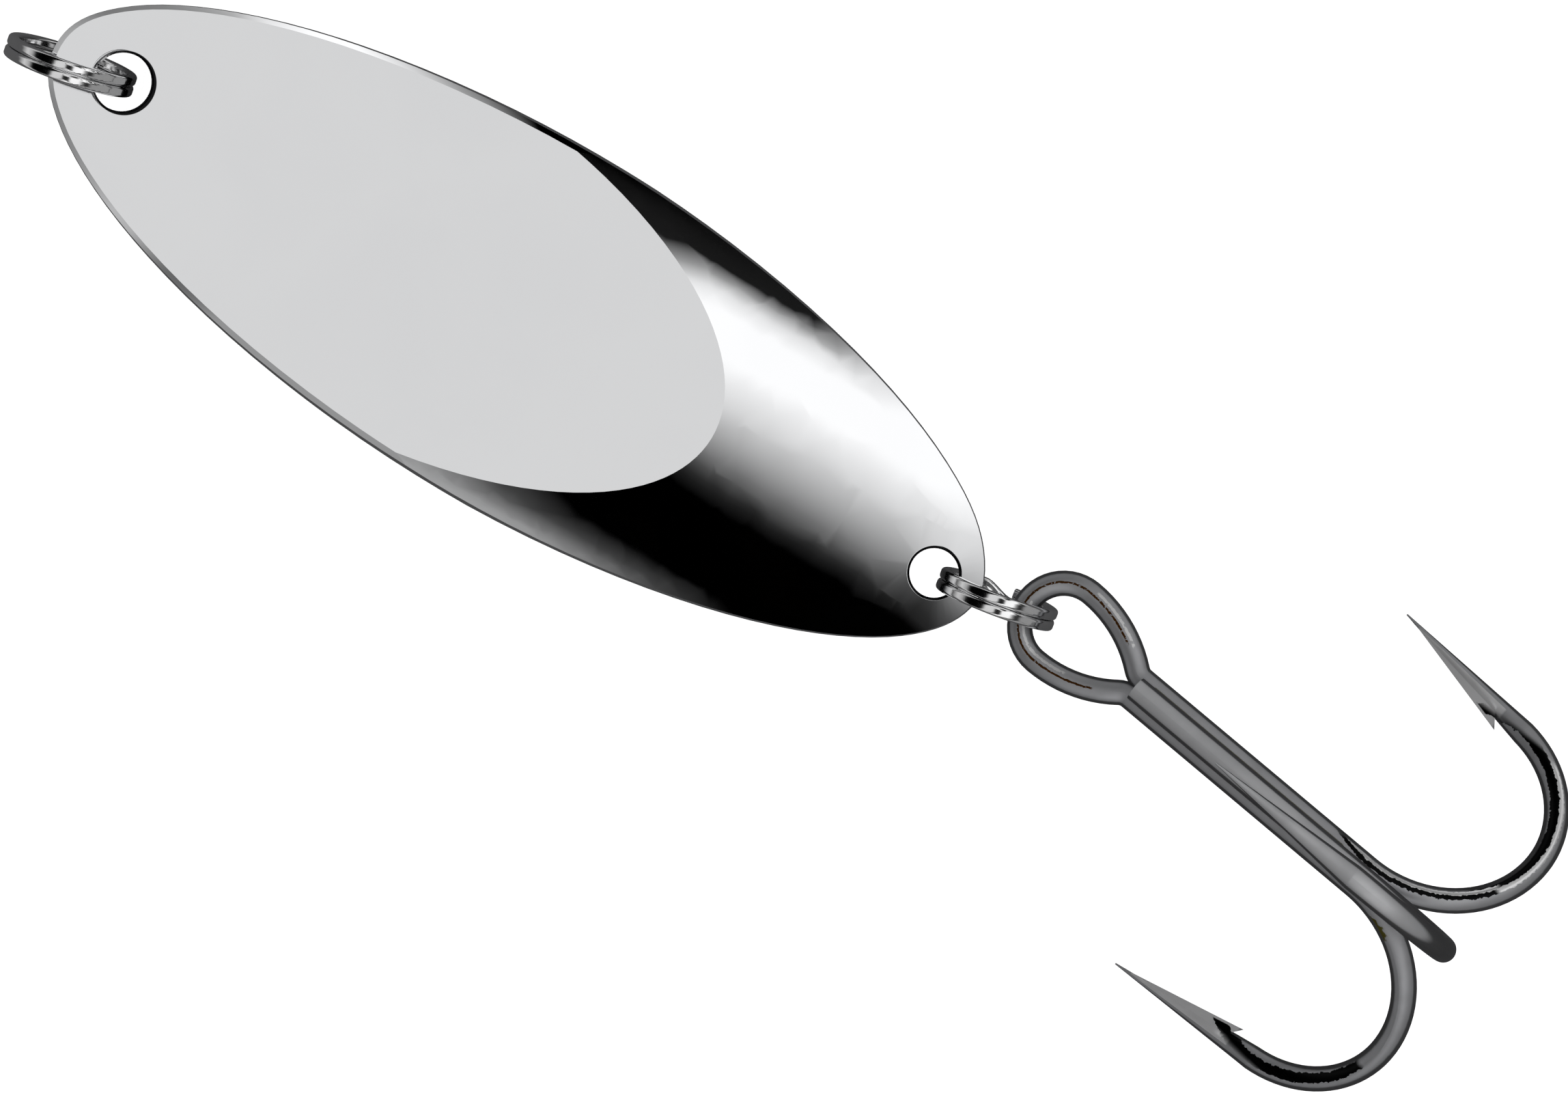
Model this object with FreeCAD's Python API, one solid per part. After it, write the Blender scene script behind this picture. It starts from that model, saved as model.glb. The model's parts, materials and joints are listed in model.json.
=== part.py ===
import FreeCAD, Part
import math
import os

V = FreeCAD.Vector

# Spoon lure: a solid metal spoon, a split ring at each end and a treble hook.
# Millimetres and degrees. +X runs from the spoon's head to its tail, +Z is up.

# --- Spoon body: a slice cut slantwise from an oval bar ---
BODY_LENGTH = 76.2
BODY_WIDTH = 26.2
BODY_THICK = 2.7
END_THICK = 1.0
OUTLINE_POWER = 1.92      # 2 would be a true ellipse
FLAT_LENGTH = 54.3        # head tip to the far end of the flat face
CREST_RUN = 28.5          # length of the flat face's rounded end
BAR_EXTRA = 0.1           # how much wider the bar is, each side
RIM_WIDE = 0.4            # the bevel round each face, seen from above
RIM_DEEP = 0.3            # and its depth
EDGE_DRAFT = 0.3          # how far the blanked edge leans in towards the upper face
HEAD_HOLE_DIA = 4.2
HEAD_HOLE_IN = 5.7        # hole centre from the head tip
TAIL_HOLE_DIA = 3.5
TAIL_HOLE_IN = 3.6        # hole centre from the tail tip
HOLE_EDGE = 0.2

# --- Split rings: two turns of flattened wire ---
LINE_RING_OD = 9.5
HOOK_RING_OD = 8.8
RING_WIRE_DEEP = 0.8      # across the wire, measured along the ring's radius
RING_WIRE_WIDE = 0.77     # across the wire, measured along the ring's axis
RING_WIRE_EDGE = 0.25
COIL_GAP = 0.03
JOG_TURN = 32.0           # part of a turn where the wire steps to the next coil

# --- Treble hook ---
HOOK_WIRE = 1.8
EYE_RADIUS = 3.1          # to the middle of the wire
EYE_NECK = 6.8            # eye centre to where the two legs run parallel
NECK_BEND = 1.3           # radius of the tight bend there
LEG_SPREAD = 1.5          # between the middles of the two legs
BRAZE_FILM = 0.1          # braze between the third wire and the two legs
HOOK_REACH = 35.9         # eye centre to the middle of the bend
BEND_MIDDLE = 9.35        # from the shank's axis out to the bend's turning point
BEND_TOP = 8.0            # radius of the bend's upper part
POINT_BACK = 18.9         # the point, measured back from the middle of the bend
POINT_OUT = 18.7          # the point's distance from the shank's axis
BARB_BACK = 8.7           # the barb's tip, measured the same two ways
BARB_OUT = 15.95
BARB_ROOT = 1.4
TIP_DIA = 0.12
BRAZE_START = 7.9
BRAZE_SHORT = 2.27        # how far it stops before the legs begin to bend
THIRD_START = 7.0         # where the third wire begins, beside the neck
LEG_COUNT = 3

# --- How the pieces lie: pulled straight, both rings on edge ---
LINE_RING_YAW = 11.5
LINE_RING_LEAN = 9.0
LINE_RING_CLEAR = 0.94    # ring wire's nearest corner to the head hole's wall
HOOK_RING_YAW = 10.5
HOOK_RING_LEAN = 6.0
HOOK_RING_CLEAR = 0.32    # ring wire's nearest corner to the tail hole's wall
HOOK_YAW = -9.0
HOOK_PITCH = 11.3
HOOK_ROLL = 2.25
EYE_CLEAR = 0.36          # ring wire's nearest corner to the eye's inside
EYE_SLACK_Y = 0.25        # ring wire's middle beside the eye's centre

LEG_ANGLE = 360.0 / LEG_COUNT
BODY_SLOPE = (BODY_THICK - END_THICK) / (BODY_LENGTH - FLAT_LENGTH)
BAR_HALF = BODY_WIDTH / 2 + BAR_EXTRA
CREST_HIGH = CREST_RUN * BODY_SLOPE
TAIL_HOLE_X = BODY_LENGTH - TAIL_HOLE_IN
LEG_OUT = (LEG_SPREAD / 2) / math.sin(math.radians(LEG_ANGLE / 2))
LEG_LOW = LEG_OUT * math.cos(math.radians(LEG_ANGLE / 2))
THIRD_RISE = math.sqrt((HOOK_WIRE + BRAZE_FILM) ** 2 - (LEG_SPREAD / 2) ** 2)
THIRD_OUT = THIRD_RISE - LEG_LOW
COIL_PITCH = RING_WIRE_WIDE + COIL_GAP
COILS_HALF = (COIL_PITCH + RING_WIRE_WIDE) / 2
POINT_X = HOOK_REACH - POINT_BACK
BARB_X = HOOK_REACH - BARB_BACK
BRAZE_END = HOOK_REACH - (BEND_MIDDLE - LEG_OUT) - BRAZE_SHORT


def wire_off_centre(opening, clear, beside):
    """How far the ring wire's middle lies off a round opening's centre, a clearance from its wall."""
    return math.sqrt((opening - clear) ** 2 - (COILS_HALF + beside) ** 2) - RING_WIRE_DEEP / 2


def outline_wire(half_long, half_wide, height):
    """The spoon's outline seen from above: a slightly pointed ellipse."""
    steps = 28
    points = []
    for i in range(steps):
        turn = 2 * math.pi * (i + 0.5) / steps
        along = math.copysign(abs(math.cos(turn)) ** (2 / OUTLINE_POWER), math.cos(turn))
        across = math.copysign(abs(math.sin(turn)) ** (2 / OUTLINE_POWER), math.sin(turn))
        points.append(V(BODY_LENGTH / 2 + half_long * along, half_wide * across, height))
    curve = Part.BSplineCurve()
    curve.interpolate(Points=points, PeriodicFlag=True)
    return Part.Wire([curve.toShape()])


def blank():
    """The spoon's outline as a plate, bevelled at its two faces and slightly drafted."""
    long_full = BODY_LENGTH / 2
    wide_full = BODY_WIDTH / 2
    levels = [(RIM_WIDE, 0), (0, RIM_DEEP), (EDGE_DRAFT, BODY_THICK - RIM_DEEP)]
    levels.append((EDGE_DRAFT + RIM_WIDE, BODY_THICK))
    wires = [outline_wire(long_full - inset, wide_full - inset, height) for inset, height in levels]
    return Part.makeLoft(wires, True, True)


def bar():
    """The upper side of the slanted bar, open downwards."""
    start = -2.0
    run = BODY_LENGTH + 4.0
    deep = 30.0
    middle = BODY_THICK - BODY_SLOPE * (start - (FLAT_LENGTH - CREST_RUN))
    centre = V(start, 0, middle)
    oval = Part.Ellipse(centre + V(0, BAR_HALF, 0), centre + V(0, 0, CREST_HIGH), centre)
    arch = Part.ArcOfEllipse(oval, 0, math.pi).toShape()
    right = centre + V(0, BAR_HALF, 0)
    left = centre - V(0, BAR_HALF, 0)
    down = V(0, 0, -deep)
    walls = Part.makePolygon([left, left + down, right + down, right])
    face = Part.Face(Part.Wire([arch] + walls.Edges))
    return face.extrude(V(run, 0, -run * BODY_SLOPE))


def bottom_height(x):
    """Height of the spoon's underside above its lower flat, on the centre line."""
    past = (BODY_LENGTH - x) - FLAT_LENGTH
    return max(0.0, BODY_SLOPE * past)


def top_height(x):
    """Height of the spoon's upper side above its lower flat, on the centre line."""
    return BODY_THICK - max(0.0, BODY_SLOPE * (x - FLAT_LENGTH))


def spoon():
    """The whole spoon, lower flat on z = 0 and head tip at x = 0."""
    upper = bar()
    lower = bar()
    lower.rotate(V(BODY_LENGTH / 2, 0, BODY_THICK / 2), V(0, 1, 0), 180)
    solid = blank().common(upper).common(lower)
    holes = ((HEAD_HOLE_IN, HEAD_HOLE_DIA / 2), (TAIL_HOLE_X, TAIL_HOLE_DIA / 2))
    for x, radius in holes:
        solid = solid.cut(Part.makeCylinder(radius, 20, V(x, 0, -10)))
    solid = solid.Solids[0]
    rims = []
    for x, radius in holes:
        for edge in solid.Edges:
            reach = [math.hypot(p.x - x, p.y) for p in edge.discretize(9)]
            level = [p.z for p in edge.discretize(9)]
            upright = max(level) - min(level) > BODY_THICK / 4 and edge.Length < BODY_THICK
            if max(abs(r - radius) for r in reach) < 0.01 and not upright:
                rims.append(edge)
    return solid.makeFillet(HOLE_EDGE, rims)


def ring_section(radius, turn, height):
    """The ring wire's section, a rounded oblong, at one place on its turn."""
    deep = RING_WIRE_DEEP / 2
    wide = RING_WIRE_WIDE / 2
    edge = RING_WIRE_EDGE
    bow = edge * (1 - math.sqrt(0.5))
    corners = ((1, 1), (-1, 1), (-1, -1), (1, -1))
    spots = []
    for a, b in corners:
        first = (a * deep, b * (wide - edge))
        last = (a * (deep - edge), b * wide)
        if a * b < 0:
            first, last = last, first
        spots.append((first, (a * (deep - bow), b * (wide - bow)), last))
    out = V(math.cos(turn), math.sin(turn), 0)

    def spot(pair):
        return out * (radius + pair[0]) + V(0, 0, height + pair[1])

    edges = []
    for i, (first, middle, last) in enumerate(spots):
        edges.append(Part.Arc(spot(first), spot(middle), spot(last)).toShape())
        following = spots[(i + 1) % 4][0]
        edges.append(Part.makeLine(spot(last), spot(following)))
    return Part.Wire(edges)


def split_ring(outside):
    """Two turns of wire with a step between them; the ring's axis is Z."""
    radius = (outside - RING_WIRE_DEEP) / 2
    jog = math.radians(JOG_TURN)
    low = -COIL_PITCH / 2
    steps = 6
    sections = []
    for i in range(steps + 1):
        part = i / steps
        rise = part * part * (3 - 2 * part)
        sections.append(ring_section(radius, -jog / 2 + jog * part, low + COIL_PITCH * rise))
    step = Part.makeLoft(sections, True, False)
    slit = 1.0
    sweep = 360 - JOG_TURN - slit
    first = Part.Face(sections[0]).revolve(V(0, 0, 0), V(0, 0, 1), -sweep)
    second = Part.Face(sections[-1]).revolve(V(0, 0, 0), V(0, 0, 1), sweep)
    return step.fuse([first, second]).removeSplitter().Solids[0]


def stand_ring(shape, centre, yaw, lean):
    """Turns a ring on edge, leans it, turns it to its heading and moves it."""
    shape.rotate(V(0, 0, 0), V(0, 0, 1), -90)
    shape.rotate(V(0, 0, 0), V(1, 0, 0), 90 + lean)
    shape.rotate(V(0, 0, 0), V(0, 0, 1), yaw)
    shape.translate(centre)
    return shape


def heading(angle):
    return V(math.cos(math.radians(angle)), math.sin(math.radians(angle)), 0)


def round_rod(start, end):
    way = end - start
    return Part.makeCylinder(HOOK_WIRE / 2, way.Length, start, way)


def bent_rod(start, centre, axis, angle):
    """Wire bent round an arc from a start point."""
    along = axis.cross(start - centre)
    disc = Part.Face(Part.Wire(Part.makeCircle(HOOK_WIRE / 2, start, along)))
    return disc.revolve(centre, axis, angle)


def hook_arm(start_x, leg_out):
    """One hook in the XZ plane: leg, round bend, point and barb."""
    low_r = BEND_MIDDLE - leg_out
    low_x = HOOK_REACH - low_r
    top_x = HOOK_REACH - BEND_TOP
    leg = round_rod(V(start_x, 0, leg_out), V(low_x, 0, leg_out))
    low = bent_rod(V(low_x, 0, leg_out), V(low_x, 0, BEND_MIDDLE), V(0, -1, 0), 90)
    bend_centre = V(top_x, 0, BEND_MIDDLE)
    point = V(POINT_X, 0, POINT_OUT)
    back = point - bend_centre
    turn = math.atan2(back.z, back.x) - math.acos(BEND_TOP / back.Length)
    top = bent_rod(V(HOOK_REACH, 0, BEND_MIDDLE), bend_centre, V(0, -1, 0), math.degrees(turn))
    shoulder = bend_centre + V(math.cos(turn), 0, math.sin(turn)) * BEND_TOP
    way = point - shoulder
    spike = Part.makeCone(HOOK_WIRE / 2, TIP_DIA / 2, way.Length, shoulder, way)
    root_x = BARB_X - BARB_ROOT
    part = (shoulder.x - root_x) / (shoulder.x - POINT_X)
    edge = HOOK_WIRE / 2 * (1 - part) + TIP_DIA / 2 * part - 0.06
    front = V(POINT_X + 0.4, 0, POINT_OUT - 0.06)
    barb = V(BARB_X, 0, BARB_OUT)
    left = V(root_x, edge, shoulder.z + way.z * part)
    right = V(root_x, -edge, shoulder.z + way.z * part)
    faces = []
    for trio in ((front, barb, left), (front, right, barb), (front, left, right), (barb, right, left)):
        faces.append(Part.Face(Part.makePolygon(list(trio) + [trio[0]])))
    blade = Part.makeSolid(Part.makeShell(faces))
    return leg.fuse([low, top, spike, blade])


def around_shank(shape, angle):
    shape.rotate(V(0, 0, 0), V(1, 0, 0), angle)
    return shape


def double_hook():
    """One wire: the eye, its two legs and their two hooks."""
    half = LEG_SPREAD / 2
    step = half + NECK_BEND - EYE_RADIUS
    flank = (EYE_NECK ** 2 + step ** 2 - NECK_BEND ** 2) / (2 * (NECK_BEND - step))
    taper = math.degrees(math.atan2(EYE_NECK, flank + step))
    clockwise = V(0, 0, -1)
    centre = V(0, 0, -LEG_LOW)
    top = centre + V(0, EYE_RADIUS, 0)
    neck = V(EYE_NECK, half, -LEG_LOW)
    bends = [bent_rod(centre + V(-EYE_RADIUS, 0, 0), centre, clockwise, 90)]
    bends.append(bent_rod(top, top - V(0, flank, 0), clockwise, taper))
    bends.append(bent_rod(neck, neck + V(0, NECK_BEND, 0), clockwise, taper))
    rods = bends + [bend.mirror(V(0, 0, 0), V(0, 1, 0)) for bend in bends]
    for side in (1, -1):
        rods.append(around_shank(hook_arm(EYE_NECK, LEG_OUT), side * LEG_ANGLE))
    return rods[0].fuse(rods[1:]).removeSplitter().Solids[0]


def single_hook():
    """The third wire, laid in the groove between the two legs."""
    arm = hook_arm(THIRD_START, THIRD_OUT)
    return arm.removeSplitter().Solids[0]


def braze(double, single):
    """Braze that fills the two grooves beside the third wire and the film under it."""
    wide_low = LEG_SPREAD / 2 + 0.6 * HOOK_WIRE / 2
    wide_top = 0.65 * HOOK_WIRE / 2
    spots = []
    for y, z in ((-wide_low, -LEG_LOW), (wide_low, -LEG_LOW), (wide_top, THIRD_OUT)):
        spots.append(V(BRAZE_START, y, z))
    spots.append(V(BRAZE_START, -wide_top, THIRD_OUT))
    face = Part.Face(Part.makePolygon(spots + [spots[0]]))
    fill = face.extrude(V(BRAZE_END - BRAZE_START, 0, 0))
    return fill.cut(double).cut(single)


# Spoon: held level with the middle of each ring.
line_ring_high = LINE_RING_OD / 2 * math.cos(math.radians(LINE_RING_LEAN))
line_ring_high += COIL_PITCH * math.sin(math.radians(LINE_RING_LEAN))
hook_ring_high = HOOK_RING_OD / 2 * math.cos(math.radians(HOOK_RING_LEAN))
hook_ring_high += COIL_PITCH * math.sin(math.radians(HOOK_RING_LEAN))
head_middle = (BODY_THICK + bottom_height(HEAD_HOLE_IN)) / 2
tail_middle = top_height(TAIL_HOLE_X) / 2
head_lift = line_ring_high - head_middle
tail_lift = hook_ring_high - tail_middle
tilt = math.degrees(math.atan2(tail_lift - head_lift, TAIL_HOLE_X - HEAD_HOLE_IN))
lift = head_lift - math.tan(math.radians(tilt)) * HEAD_HOLE_IN
body = spoon()
body.rotate(V(0, 0, 0), V(0, 1, 0), -tilt)
body.translate(V(0, 0, lift))

# Line ring: its wire passes down through the head hole.
line_reach = (LINE_RING_OD - RING_WIRE_DEEP) / 2
line_ring_past = wire_off_centre(HEAD_HOLE_DIA / 2, LINE_RING_CLEAR, 0)
line_pin = V(HEAD_HOLE_IN + line_ring_past, 0, line_ring_high)
line_centre = line_pin - heading(LINE_RING_YAW) * line_reach
line_ring = stand_ring(split_ring(LINE_RING_OD), line_centre, LINE_RING_YAW, LINE_RING_LEAN)

# Hook ring: its wire passes down through the tail hole.
hook_reach = (HOOK_RING_OD - RING_WIRE_DEEP) / 2
hook_ring_past = wire_off_centre(TAIL_HOLE_DIA / 2, HOOK_RING_CLEAR, 0)
hook_pin = V(TAIL_HOLE_X + hook_ring_past, 0, hook_ring_high)
hook_centre = hook_pin + heading(HOOK_RING_YAW) * hook_reach
hook_ring = stand_ring(split_ring(HOOK_RING_OD), hook_centre, HOOK_RING_YAW, HOOK_RING_LEAN)

# Treble: its eye is round the hook ring's far side.
double = double_hook()
single = single_hook()
seam = braze(double, single)
# The treble hangs where its line of pull crosses the ring.
pull = math.radians(HOOK_PITCH)
lean = math.radians(HOOK_RING_LEAN)
ring_up = heading(HOOK_RING_YAW - 90) * math.sin(lean) + V(0, 0, math.cos(lean))
outward = heading(HOOK_RING_YAW) * math.cos(pull) + ring_up * math.sin(pull)
eye_on_ring = hook_centre + outward * hook_reach
eye_slack_x = wire_off_centre(EYE_RADIUS - HOOK_WIRE / 2, EYE_CLEAR, EYE_SLACK_Y)
for piece in (double, single, seam):
    piece.translate(V(eye_slack_x, EYE_SLACK_Y, LEG_LOW))
    piece.rotate(V(0, 0, 0), V(1, 0, 0), HOOK_ROLL)
    piece.rotate(V(0, 0, 0), V(0, 1, 0), -HOOK_PITCH)
    piece.rotate(V(0, 0, 0), V(0, 0, 1), HOOK_YAW)
    piece.translate(eye_on_ring)

nodes = {
    "spoon_body": body,
    "line_split_ring": line_ring,
    "hook_split_ring": hook_ring,
    "treble_double_hook": double,
    "treble_single_hook": single,
    "treble_braze": seam,
}

# The whole lure is centred over the origin with its lowest point on z = 0.
whole = Part.makeCompound(list(nodes.values())).BoundBox
shift = V(-(whole.XMin + whole.XMax) / 2, -(whole.YMin + whole.YMax) / 2, -whole.ZMin)
os.makedirs("parts", exist_ok=True)
for name, shape in nodes.items():
    shape.translate(shift)
    shape.exportStep("parts/" + name + ".step")
    box = shape.BoundBox
    print(name, shape.isValid(), len(shape.Solids), round(shape.Volume, 2),
          [round(v, 2) for v in (box.XMin, box.XMax, box.YMin, box.YMax, box.ZMin, box.ZMax)])

places = {"line_pin": line_pin, "line_centre": line_centre, "hook_centre": hook_centre, "eye": eye_on_ring}
for name, spot in places.items():
    spot = spot + shift
    print(name, round(spot.x, 4), round(spot.y, 4), round(spot.z, 4))
print("spoon tilt", round(tilt, 4))
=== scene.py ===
"""Spoon lure in a light studio: finishes, floor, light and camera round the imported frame."""

import json
import math

import bmesh
import bpy
from mathutils import Euler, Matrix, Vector


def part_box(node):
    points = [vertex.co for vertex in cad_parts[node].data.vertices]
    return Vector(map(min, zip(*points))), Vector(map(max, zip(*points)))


mm = 0.001

# Treble, measured from the start of its shank: x along it, out from it.
TREBLE_TURN = tuple(math.radians(a) for a in (2.25, -11.3, -9.0))
SHANK_FROM_EYE = Vector((1.12, 0.25, 0.43)) * mm
EYE_RADIUS = 3.1 * mm
FLANK_RADIUS = 9.713 * mm
BEND_OUT = 9.35 * mm
TOP_BEND_X, TOP_BEND_RADIUS = 27.9 * mm, 8.0 * mm
LOW_BEND_X, LOW_BEND_RADIUS = 27.416 * mm, 8.484 * mm
SPIKE_SLOPE = 0.119

# Spoon: each hole's distance from its end of the spoon, and its radius.
HEAD_HOLE_IN, HEAD_HOLE_RADIUS = 5.66 * mm, 2.1 * mm
TAIL_HOLE_IN, TAIL_HOLE_RADIUS = 3.6 * mm, 1.75 * mm

# Camera, as parts of the spoon's length and width, and its height over the spoon.
CAMERA_ALONG, CAMERA_ACROSS, CAMERA_HEIGHT = 0.8204, -0.149, 0.5026
CAMERA_TURN = math.radians(31.16)
CAMERA_LENS, CAMERA_SENSOR = 163.0, 36.0

# The black and white here are painted reflection and highlight colours, not colours of the steel.
REFLECTION_BLACK, HIGHLIGHT_WHITE = (0.008,) * 3, (0.95,) * 3
BROWN, OLIVE = (0.09, 0.035, 0.008), (0.16, 0.14, 0.03)
BLADE_GREY, EDGE_SHADE_GREY = (0.95, 0.95, 0.96), (0.2, 0.2, 0.205)
HOLE_SHADE_LINE = (0.012, 0.012, 0.013)

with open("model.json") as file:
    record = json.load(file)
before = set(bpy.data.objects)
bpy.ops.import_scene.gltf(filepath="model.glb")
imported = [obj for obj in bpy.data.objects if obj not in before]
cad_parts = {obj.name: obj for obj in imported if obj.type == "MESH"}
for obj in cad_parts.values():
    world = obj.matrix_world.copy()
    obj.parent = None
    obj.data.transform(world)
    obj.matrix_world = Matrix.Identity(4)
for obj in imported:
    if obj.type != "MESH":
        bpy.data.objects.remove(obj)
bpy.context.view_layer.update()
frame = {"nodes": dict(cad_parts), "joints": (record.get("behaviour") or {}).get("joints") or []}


# ---------------------------------------------------------------- small helpers


def put(tree, kind, **settings):
    """A node of one kind with its properties set."""
    node = tree.nodes.new(kind)
    for key, value in settings.items():
        setattr(node, key, value)
    return node


def maths(tree, way, first, second=None):
    """A Math node; each input is a socket or a plain number."""
    node = put(tree, "ShaderNodeMath", operation=way)
    for place, value in enumerate((first, second)):
        if value is None:
            continue
        if isinstance(value, (int, float)):
            node.inputs[place].default_value = value
        else:
            tree.links.new(value, node.inputs[place])
    return node.outputs[0]


def ramp(tree, source, stops):
    """A grey ramp: stops are (place from 0 to 1, value)."""
    node = put(tree, "ShaderNodeValToRGB")
    colours = node.color_ramp
    while len(colours.elements) < len(stops):
        colours.elements.new(0.5)
    for element, (place, value) in zip(colours.elements, stops):
        element.position = place
        element.color = (value, value, value, 1)
    tree.links.new(source, node.inputs["Fac"])
    return node.outputs["Color"]


def blend_colours(tree, mask, first, second):
    """A colour mix driven by a mask; each colour is a socket or an (r, g, b)."""
    node = put(tree, "ShaderNodeMix", data_type="RGBA")
    tree.links.new(mask, node.inputs[0])
    for name, colour in (("A", first), ("B", second)):
        socket = [s for s in node.inputs if s.name == name and s.type == "RGBA"][0]
        if isinstance(colour, tuple):
            socket.default_value = (*colour, 1)
        else:
            tree.links.new(colour, socket)
    return [s for s in node.outputs if s.type == "RGBA"][0]


def fade(tree, value, near, far):
    """1 while the value is under near, 0 once it is over far."""
    node = put(tree, "ShaderNodeMapRange", interpolation_type="SMOOTHSTEP")
    node.inputs["From Min"].default_value = near
    node.inputs["From Max"].default_value = far
    node.inputs["To Min"].default_value = 1.0
    node.inputs["To Max"].default_value = 0.0
    tree.links.new(value, node.inputs["Value"])
    return node.outputs[0]


def inverse(tree, mask):
    """0 where a mask is 1."""
    return maths(tree, "SUBTRACT", 1.0, mask)


def both(tree, *masks):
    """1 only where every mask is 1."""
    result = masks[0]
    for mask in masks[1:]:
        result = maths(tree, "MULTIPLY", result, mask)
    return result


def band(tree, value, low, high, soft=0.03 * mm):
    """1 between two values, with soft edges."""
    above = inverse(tree, fade(tree, value, low - soft, low))
    return both(tree, above, fade(tree, value, high, high + soft))


def weigh(tree, first, first_part, second, second_part):
    """Two values added together in given parts."""
    left = maths(tree, "MULTIPLY", first, first_part)
    return maths(tree, "ADD", left, maths(tree, "MULTIPLY", second, second_part))


def choose(tree, switch, when_on, when_off):
    """One value where the switch is 1 and another where it is 0."""
    return maths(
        tree, "ADD", both(tree, switch, when_on), both(tree, inverse(tree, switch), when_off)
    )


def measured_from(tree, place, centre, turned=(0, 0, 0), stretch=(1, 1, 1)):
    """A place measured from a centre, along turned and stretched axes."""
    node = put(tree, "ShaderNodeMapping", vector_type="TEXTURE")
    node.inputs["Location"].default_value = centre
    node.inputs["Rotation"].default_value = turned
    node.inputs["Scale"].default_value = stretch
    tree.links.new(place, node.inputs["Vector"])
    return node.outputs["Vector"]


def length_of(tree, vector):
    """How long a vector is."""
    node = put(tree, "ShaderNodeVectorMath", operation="LENGTH")
    tree.links.new(vector, node.inputs[0])
    return node.outputs["Value"]


def off_arc(tree, across, up, centre, radius):
    """How far a point lies outside a round wire's middle line, in the wire's plane."""
    flat = put(tree, "ShaderNodeCombineXYZ")
    tree.links.new(maths(tree, "SUBTRACT", across, centre[0]), flat.inputs["X"])
    tree.links.new(maths(tree, "SUBTRACT", up, centre[1]), flat.inputs["Y"])
    return maths(tree, "SUBTRACT", length_of(tree, flat.outputs[0]), radius)


def fine_noise(tree, place, size, detail):
    """Cloudy noise from 0 to 1."""
    noise = put(tree, "ShaderNodeTexNoise")
    noise.inputs["Scale"].default_value = size
    noise.inputs["Detail"].default_value = detail
    tree.links.new(place, noise.inputs["Vector"])
    return noise.outputs["Fac"]


def ragged(tree, place, size, low, high):
    """A patchy mask with torn edges."""
    return inverse(tree, fade(tree, fine_noise(tree, place, size, 4), low, high))


def torn_edge(tree, place, value, size, depth):
    """A value pushed about by fine noise, so that a band drawn from it has torn edges."""
    push = maths(tree, "SUBTRACT", fine_noise(tree, place, size, 5), 0.5)
    return maths(tree, "ADD", value, maths(tree, "MULTIPLY", push, depth))


# ---------------------------------------------------------------- shared effects


def group_of(name, wanted, given):
    """A shader node group with named inputs and outputs."""
    tree = bpy.data.node_groups.new(name, "ShaderNodeTree")
    for label, kind, start in wanted:
        socket = tree.interface.new_socket(label, in_out="INPUT", socket_type=kind)
        if start is not None:
            socket.default_value = start
    for label, kind in given:
        tree.interface.new_socket(label, in_out="OUTPUT", socket_type=kind)
    return tree, put(tree, "NodeGroupInput"), put(tree, "NodeGroupOutput")


def make_polishing_lines():
    """Hairlines left by a polishing wheel, running along the piece."""
    tree, wanted, given = group_of(
        "polishing_lines",
        (("Place", "NodeSocketVector", None), ("Fineness", "NodeSocketFloat", 6000.0)),
        (("Height", "NodeSocketFloat"), ("Mask", "NodeSocketFloat")),
    )
    stretch = put(tree, "ShaderNodeMapping")
    stretch.inputs["Scale"].default_value = (0.06, 1, 1)
    tree.links.new(wanted.outputs["Place"], stretch.inputs["Vector"])
    lines = put(tree, "ShaderNodeTexNoise")
    lines.inputs["Detail"].default_value = 4
    lines.inputs["Roughness"].default_value = 0.62
    tree.links.new(stretch.outputs["Vector"], lines.inputs["Vector"])
    tree.links.new(wanted.outputs["Fineness"], lines.inputs["Scale"])
    tree.links.new(lines.outputs["Fac"], given.inputs["Height"])
    tree.links.new(ramp(tree, lines.outputs["Fac"], ((0.56, 0), (0.72, 1))), given.inputs["Mask"])
    return tree


def make_handling_marks():
    """Soft uneven patches, as plating and handled metal have."""
    tree, wanted, given = group_of(
        "handling_marks",
        (("Place", "NodeSocketVector", None), ("Patch", "NodeSocketFloat", 180.0)),
        (("Mask", "NodeSocketFloat"),),
    )
    patches = put(tree, "ShaderNodeTexNoise")
    patches.inputs["Detail"].default_value = 5
    patches.inputs["Distortion"].default_value = 0.6
    tree.links.new(wanted.outputs["Place"], patches.inputs["Vector"])
    tree.links.new(wanted.outputs["Patch"], patches.inputs["Scale"])
    tree.links.new(ramp(tree, patches.outputs["Fac"], ((0.4, 0), (0.66, 1))), given.inputs["Mask"])
    return tree


# A hook's turn round the shank, then its bend streaks, painted black and white reflections on a
# smoother rubbed band:
# how far each lies outside the wire's middle (from, to), how far out from the shank (from, to), in mm,
# and its colour.
BEND_REFLECTION_STREAKS = (
    (-120, (
        (-0.62, -0.04, 4.4, 16.6, REFLECTION_BLACK),
        (-0.04, 0.3, 5.6, 16.2, HIGHLIGHT_WHITE),
        (-0.26, 0.02, 0.2, 5.7, HIGHLIGHT_WHITE),
        (0.02, 0.32, 0.2, 5.4, REFLECTION_BLACK),
    )),
    (120, ((-0.66, -0.02, 11.6, 16.9, REFLECTION_BLACK),)),
)

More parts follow.
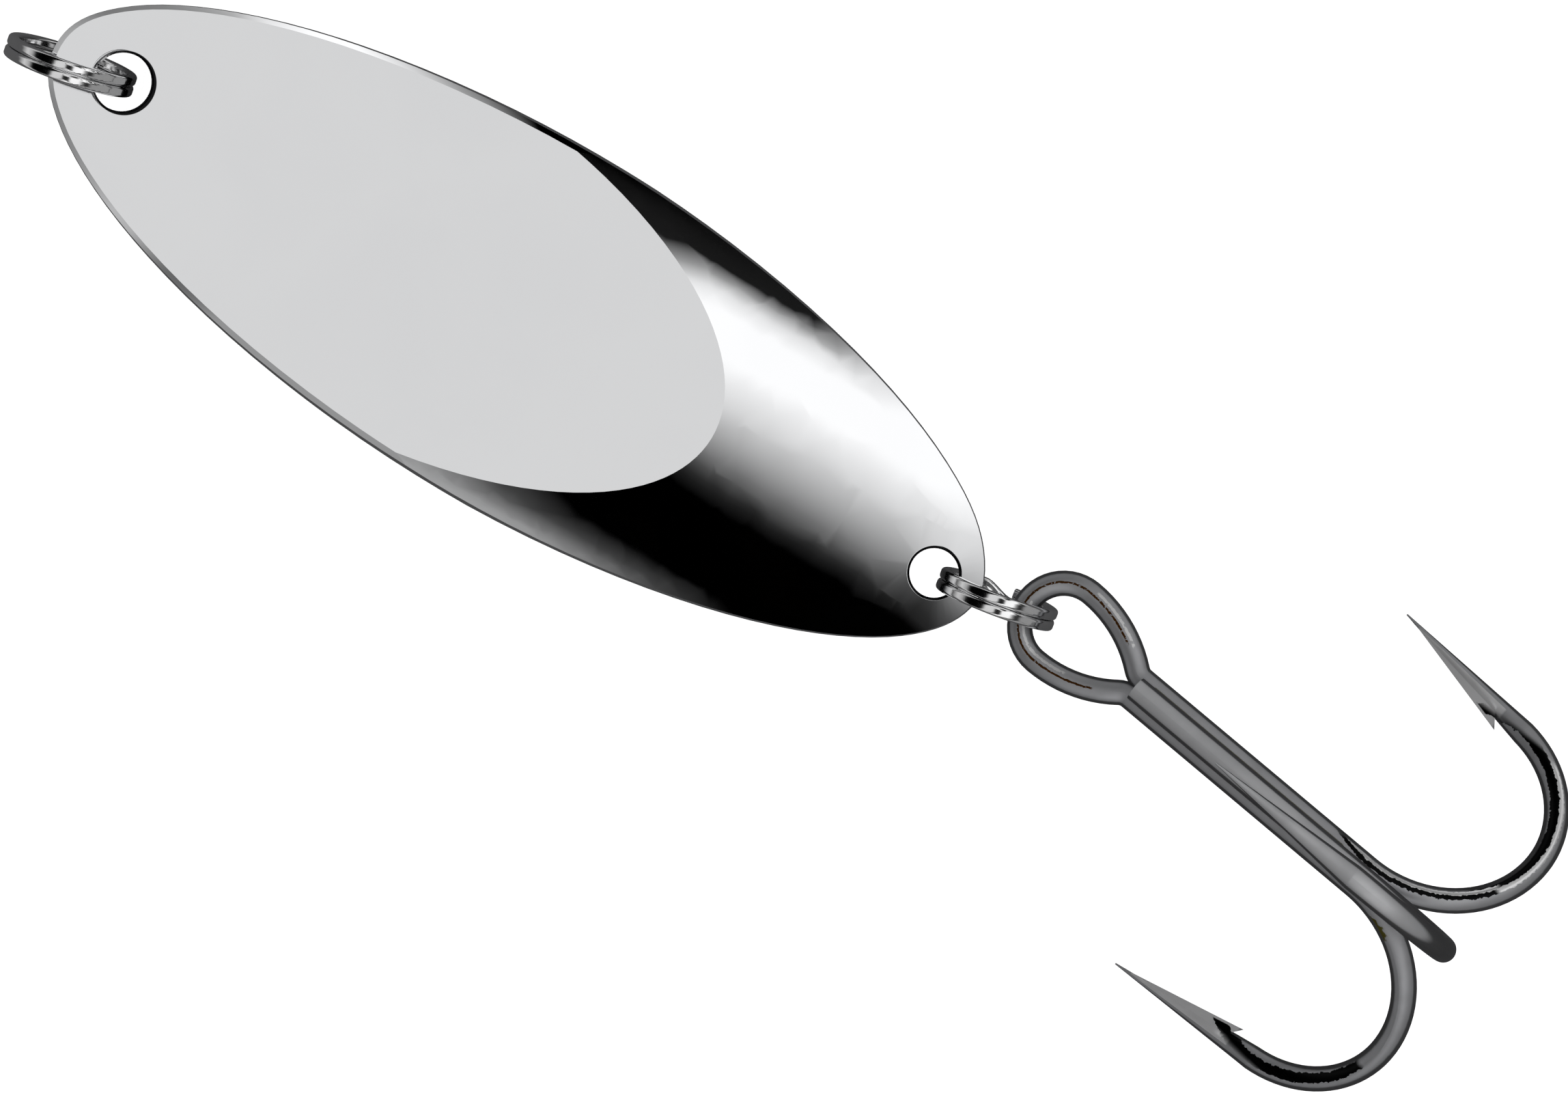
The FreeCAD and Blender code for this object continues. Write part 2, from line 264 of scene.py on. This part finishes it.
# A line on the eye, the brown one a tint on the metal, the white ones painted highlights: outside the
# wire's middle, along the shank and across it (from, to), in mm.
EYE_TINT_AND_HIGHLIGHT_LINES = (
    (-0.06, 0.06, -4.2, 4.4, -6.0, 6.0, BROWN),
    (0.24, 0.4, 0.6, 4.8, 0.0, 6.0, HIGHLIGHT_WHITE),
    (-0.46, -0.3, -3.2, 2.2, -6.0, 0.0, HIGHLIGHT_WHITE),
)

# A stain's middle and its half sizes, in mm.
STAINS = (((31.6, 0.0, 5.0), (1.9, 0.42, 3.0)), ((30.2, -2.2, -1.5), (1.9, 0.9, 2.0)))


def make_hook_wear_and_painted_light():
    """Bright blades, painted black and white reflections on the smoother rubbed bends, a brown tint and
    painted white highlights round the eye, and stains, laid over a plain steel.
    """
    tree, wanted, given = group_of(
        "hook_wear_and_painted_light",
        (
            ("Place", "NodeSocketVector", None),
            ("Under", "NodeSocketColor", None),
            ("Roughness", "NodeSocketFloat", 0.5),
        ),
        (("Colour", "NodeSocketColor"), ("Roughness", "NodeSocketFloat")),
    )
    place, colour, rough = (wanted.outputs[label] for label in ("Place", "Under", "Roughness"))
    eye = next(Vector(j["pos_m"]) for j in frame["joints"] if j["name"] == "treble_swing")
    shank_start = eye + Euler(TREBLE_TURN).to_matrix() @ SHANK_FROM_EYE
    from_shank = measured_from(tree, place, shank_start, TREBLE_TURN)
    parts = put(tree, "ShaderNodeSeparateXYZ")
    tree.links.new(from_shank, parts.inputs[0])
    x, y, z = (parts.outputs[label] for label in "XYZ")

    for angle, reflection_streaks in BEND_REFLECTION_STREAKS:
        turn = math.radians(angle)
        out = weigh(tree, z, math.cos(turn), y, -math.sin(turn))
        facing = weigh(tree, z, abs(math.sin(turn)), y, math.copysign(math.cos(turn), -turn))
        upper = maths(tree, "GREATER_THAN", out, BEND_OUT)
        top = off_arc(tree, x, out, (TOP_BEND_X, BEND_OUT), TOP_BEND_RADIUS)
        low = off_arc(tree, x, out, (LOW_BEND_X, BEND_OUT), LOW_BEND_RADIUS)
        off_wire = torn_edge(tree, place, choose(tree, upper, top, low), 3200.0, 0.4 * mm)
        blade = both(
            tree,
            band(tree, weigh(tree, out, 1.0, x, SPIKE_SLOPE), 17.7 * mm, 20.62 * mm),
            band(tree, x, 18.4 * mm, 26.8 * mm, 0.2 * mm),
        )
        colour = blend_colours(tree, blade, colour, BLADE_GREY)
        shown = both(
            tree, band(tree, facing, 0.1 * mm, 2 * mm), band(tree, x, 25.0 * mm, 40 * mm, 2 * mm)
        )
        # Painted reflections: black and white streaks over the bend, where the roughness also drops to
        # 0.3 for a rubbed, polished band.
        for inner, outer, first, last, paint in reflection_streaks:
            mark_and_painted_light = both(
                tree,
                band(tree, off_wire, inner * mm, outer * mm),
                band(tree, out, first * mm, last * mm, 0.5 * mm),
                shown,
            )
            colour = blend_colours(tree, mark_and_painted_light, colour, paint)
            kept = both(tree, rough, inverse(tree, mark_and_painted_light))
            rough = maths(tree, "ADD", kept, maths(tree, "MULTIPLY", mark_and_painted_light, 0.3))

    head = off_arc(tree, x, y, (0, 0), EYE_RADIUS)
    sideways = maths(tree, "ABSOLUTE", y)
    flank = off_arc(tree, x, sideways, (0, EYE_RADIUS - FLANK_RADIUS), FLANK_RADIUS)
    behind = maths(tree, "LESS_THAN", x, 0.0)
    off_eye = torn_edge(tree, place, choose(tree, behind, head, flank), 4200.0, 0.16 * mm)
    top_side = band(tree, z, -0.1 * mm, 1.0 * mm)
    torn = ragged(tree, place, 3600.0, 0.33, 0.4)
    # A brown tint, and painted white highlights along the top of the eye.
    for inner, outer, first, last, low_y, high_y, paint in EYE_TINT_AND_HIGHLIGHT_LINES:
        mark_and_painted_light = both(
            tree,
            band(tree, off_eye, inner * mm, outer * mm),
            top_side,
            band(tree, x, first * mm, last * mm, 0.2 * mm),
            band(tree, y, low_y * mm, high_y * mm),
            torn,
        )
        colour = blend_colours(tree, mark_and_painted_light, colour, paint)

    for spot, size in STAINS:
        shift = put(tree, "ShaderNodeVectorMath", operation="SUBTRACT")
        shift.inputs[1].default_value = [v * mm for v in spot]
        tree.links.new(from_shank, shift.inputs[0])
        shaped = put(tree, "ShaderNodeVectorMath", operation="DIVIDE")
        shaped.inputs[1].default_value = [v * mm for v in size]
        tree.links.new(shift.outputs[0], shaped.inputs[0])
        reach = torn_edge(tree, place, length_of(tree, shaped.outputs[0]), 3000.0, 0.5)
        colour = blend_colours(tree, fade(tree, reach, 0.9, 1.0), colour, OLIVE)

    tree.links.new(colour, given.inputs["Colour"])
    tree.links.new(rough, given.inputs["Roughness"])
    return tree


polishing_lines = make_polishing_lines()
handling_marks = make_handling_marks()
hook_wear_and_painted_light = make_hook_wear_and_painted_light()


# ---------------------------------------------------------------- finishes


def metal(name, clean, dull, smoothest, roughest, fineness, patch, depth):
    """A bare or plated metal: colour, roughness and relief all vary over the surface."""
    material = bpy.data.materials.new(name)
    material.use_nodes = True
    tree = material.node_tree
    shader = tree.nodes["Principled BSDF"]
    shader.inputs["Metallic"].default_value = 1.0
    place = put(tree, "ShaderNodeTexCoord").outputs["Object"]
    lines = put(tree, "ShaderNodeGroup", node_tree=polishing_lines)
    lines.inputs["Fineness"].default_value = fineness
    marks = put(tree, "ShaderNodeGroup", node_tree=handling_marks)
    marks.inputs["Patch"].default_value = patch
    tree.links.new(place, lines.inputs["Place"])
    tree.links.new(place, marks.inputs["Place"])
    tree.links.new(blend_colours(tree, marks.outputs["Mask"], clean, dull), shader.inputs["Base Color"])
    worn = maths(tree, "MULTIPLY", marks.outputs["Mask"], (roughest - smoothest) * 0.6)
    scored = maths(tree, "MULTIPLY", lines.outputs["Mask"], (roughest - smoothest) * 0.4)
    rough = maths(tree, "ADD", maths(tree, "ADD", worn, scored), smoothest)
    tree.links.new(rough, shader.inputs["Roughness"])
    relief = put(tree, "ShaderNodeBump")
    relief.inputs["Strength"].default_value = 0.5
    relief.inputs["Distance"].default_value = depth
    tree.links.new(lines.outputs["Height"], relief.inputs["Height"])
    tree.links.new(relief.outputs["Normal"], shader.inputs["Normal"])
    return material


def lay_over(material, mask, colour):
    """Lays another colour over a finish where the mask is 1."""
    tree = material.node_tree
    base = tree.nodes["Principled BSDF"].inputs["Base Color"]
    under = base.links[0].from_socket
    tree.links.new(blend_colours(tree, mask, under, colour), base)


def make_spoon_chrome():
    """Mirror chrome with the faintest polishing lines and a painted dark shade line round each hole."""
    material = metal(
        "spoon_chrome", (0.955, 0.96, 0.97), (0.94, 0.945, 0.957), 0.02, 0.05, 5000.0, 90.0, 1e-8
    )
    tree = material.node_tree
    place = put(tree, "ShaderNodeTexCoord").outputs["Object"]
    low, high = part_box("spoon_body")
    middle = (low.y + high.y) / 2
    holes = ((low.x + HEAD_HOLE_IN, HEAD_HOLE_RADIUS), (high.x - TAIL_HOLE_IN, TAIL_HOLE_RADIUS))
    for hole_x, radius in holes:
        # The long stretch keeps height out of the distance, so the hole's wall is painted dark with
        # shade as well.
        near = measured_from(tree, place, (hole_x, middle, 0), stretch=(1, 1, 1000))
        line = fade(tree, length_of(tree, near), radius + 0.17 * mm, radius + 0.21 * mm)
        lay_over(material, line, HOLE_SHADE_LINE)
    return material


def make_hook_steel(name, clean, dull):
    """Grey steel with the treble's marks, stains and painted reflections and highlights on it, and
    painted shade where the wire turns away.
    """
    material = metal(name, clean, dull, 0.5, 0.6, 8000.0, 260.0, 4e-7)
    tree = material.node_tree
    shader = tree.nodes["Principled BSDF"]
    wear_and_painted_light = put(tree, "ShaderNodeGroup", node_tree=hook_wear_and_painted_light)
    tree.links.new(put(tree, "ShaderNodeTexCoord").outputs["Object"], wear_and_painted_light.inputs["Place"])
    tree.links.new(shader.inputs["Base Color"].links[0].from_socket, wear_and_painted_light.inputs["Under"])
    tree.links.new(shader.inputs["Roughness"].links[0].from_socket, wear_and_painted_light.inputs["Roughness"])
    tree.links.new(wear_and_painted_light.outputs["Colour"], shader.inputs["Base Color"])
    tree.links.new(wear_and_painted_light.outputs["Roughness"], shader.inputs["Roughness"])
    # Painted shade: a darker grey over the colour where the wire turns away from the view.
    edge = put(tree, "ShaderNodeLayerWeight")
    edge.inputs["Blend"].default_value = 0.5
    lay_over(material, inverse(tree, fade(tree, edge.outputs["Facing"], 0.3, 0.42)), EDGE_SHADE_GREY)
    return material


finishes = {
    "spoon_chrome": make_spoon_chrome(),
    "ring_nickel": metal(
        "ring_nickel", (0.92, 0.92, 0.925), (0.86, 0.86, 0.865), 0.10, 0.16, 9000.0, 420.0, 1e-8
    ),
    "hook_steel": make_hook_steel("hook_steel", (0.60, 0.605, 0.625), (0.53, 0.535, 0.55)),
    # Painted light: the third hook is the same steel, given a lighter colour to stand in for the
    # brighter light on it.
    "third_hook_lit_steel": make_hook_steel("third_hook_lit_steel", (0.78, 0.785, 0.8), (0.7, 0.705, 0.72)),
    "braze_metal": metal(
        "braze_metal", (0.52, 0.50, 0.43), (0.40, 0.38, 0.28), 0.36, 0.5, 7000.0, 600.0, 4e-7
    ),
}

finish_of_node = {
    "spoon_body": "spoon_chrome",
    "line_split_ring": "ring_nickel",
    "hook_split_ring": "ring_nickel",
    "treble_double_hook": "hook_steel",
    "treble_single_hook": "third_hook_lit_steel",
    "treble_braze": "braze_metal",
}

for node_name, finish in finish_of_node.items():
    piece = frame["nodes"][node_name]
    for place in piece.material_slots:
        place.material = finishes[finish]


# ---------------------------------------------------------------- floor


def make_floor():
    """A wide pale sheet under the lure, white to the eye and quiet in the chrome."""
    floor_mesh = bmesh.new()
    bmesh.ops.create_grid(floor_mesh, x_segments=8, y_segments=8, size=2.5)
    data = bpy.data.meshes.new("floor")
    floor_mesh.to_mesh(data)
    floor_mesh.free()
    floor = bpy.data.objects.new("floor", data)
    bpy.context.scene.collection.objects.link(floor)
    material = bpy.data.materials.new("pale_floor")
    material.use_nodes = True
    tree = material.node_tree
    shader = tree.nodes["Principled BSDF"]
    shader.inputs["Roughness"].default_value = 0.9
    shader.inputs["Specular IOR Level"].default_value = 0.0
    shader.inputs["Emission Color"].default_value = (1, 1, 1, 1)
    seen = put(tree, "ShaderNodeLightPath").outputs["Is Camera Ray"]
    base = blend_colours(tree, seen, (0.24, 0.24, 0.245), (0.8, 0.8, 0.8))
    tree.links.new(base, shader.inputs["Base Color"])
    tree.links.new(maths(tree, "MULTIPLY", seen, 0.92), shader.inputs["Emission Strength"])
    data.materials.append(material)


make_floor()


# ---------------------------------------------------------------- light


# Light by direction, as (degrees, brightness). A turn of 0 is straight up, with the hook end
# positive; a tilt of 0 is the plane along the lure, with its left side positive.
END_TO_END = (
    (-180, 0.04), (-100, 0.02), (-90, 0.12), (-76, 0.62), (-65, 0.4), (-57, 0.0), (-20, 0.0),
    (-14, 0.685), (3, 0.685), (10, 1.0), (33, 1.05), (38, 0.3), (43, 0.02), (49, 0.02),
    (56, 0.27), (180, 0.27),
)
SIDE_TO_SIDE = (
    (-90, 0.36), (-58, 0.36), (-45, 0.3), (-35, 0.17), (-27, 0.05), (-20, 0.0), (-6.2, 0.0),
    (-4.4, 0.016), (-2.9, 0.068), (-1.4, 0.165), (0.3, 0.32), (1.4, 0.42), (4.4, 0.68),
    (6.8, 0.84), (9.5, 1.04), (16, 1.04), (20, 0.8), (24, 0.3), (28, 0.01), (64, 0.0), (90, 0.3),
)
TAIL_SLOPE_SEES = ((2.5, 0), (4, 1), (15, 1), (18, 0))
RIM_SEES = ((-70, 1), (-62, 0), (63, 0), (68, 1))
LEFT_RIM = (
    (-180, 1.05), (-62, 1.05), (-44, 0.35), (-30, 0.0), (24, 0.0), (38, 0.85), (180, 1.0)
)
RIGHT_RIM = ((-180, 0), (-68, 0), (-57, 0.3), (180, 0.3))


def make_sky():
    """Soft light panels and dark gaps all round, which the polished metal mirrors."""
    world = bpy.data.worlds.new("studio")
    bpy.context.scene.world = world
    world.use_nodes = True
    tree = world.node_tree
    way = put(tree, "ShaderNodeSeparateXYZ")
    tree.links.new(put(tree, "ShaderNodeTexCoord").outputs["Generated"], way.inputs[0])
    turn = maths(tree, "ARCTAN2", way.outputs["X"], way.outputs["Z"])
    turn = maths(tree, "ADD", maths(tree, "DIVIDE", turn, 2 * math.pi), 0.5)
    tilt = maths(tree, "ARCSINE", way.outputs["Y"])
    tilt = maths(tree, "ADD", maths(tree, "DIVIDE", tilt, math.pi), 0.5)

    def by_turn(stops):
        return ramp(tree, turn, [(degrees / 360 + 0.5, value) for degrees, value in stops])

    def by_tilt(stops):
        return ramp(tree, tilt, [(degrees / 180 + 0.5, value) for degrees, value in stops])

    light = blend_colours(tree, by_turn(TAIL_SLOPE_SEES), by_turn(END_TO_END), by_tilt(SIDE_TO_SIDE))
    which_side = ramp(tree, tilt, ((0.4, 0.0), (0.6, 1.0)))
    rim_light = blend_colours(tree, which_side, by_turn(RIGHT_RIM), by_turn(LEFT_RIM))
    light = blend_colours(tree, by_tilt(RIM_SEES), light, rim_light)
    tree.links.new(light, tree.nodes["Background"].inputs["Color"])
    tree.nodes["Background"].inputs["Strength"].default_value = 1.0


make_sky()


# ---------------------------------------------------------------- camera


def make_camera():
    """Straight above the lure, turned so that its head lies up and to the left."""
    low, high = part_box("spoon_body")
    data = bpy.data.cameras.new("camera")
    data.lens = CAMERA_LENS
    data.sensor_width = CAMERA_SENSOR
    data.clip_end = 20.0
    camera = bpy.data.objects.new("camera", data)
    bpy.context.scene.collection.objects.link(camera)
    camera.location = (
        low.x + CAMERA_ALONG * (high.x - low.x),
        (low.y + high.y) / 2 + CAMERA_ACROSS * (high.y - low.y),
        low.z + CAMERA_HEIGHT,
    )
    camera.rotation_euler = (0, 0, CAMERA_TURN)
    bpy.context.scene.camera = camera


make_camera()

bpy.context.scene.view_settings.view_transform = "Standard"
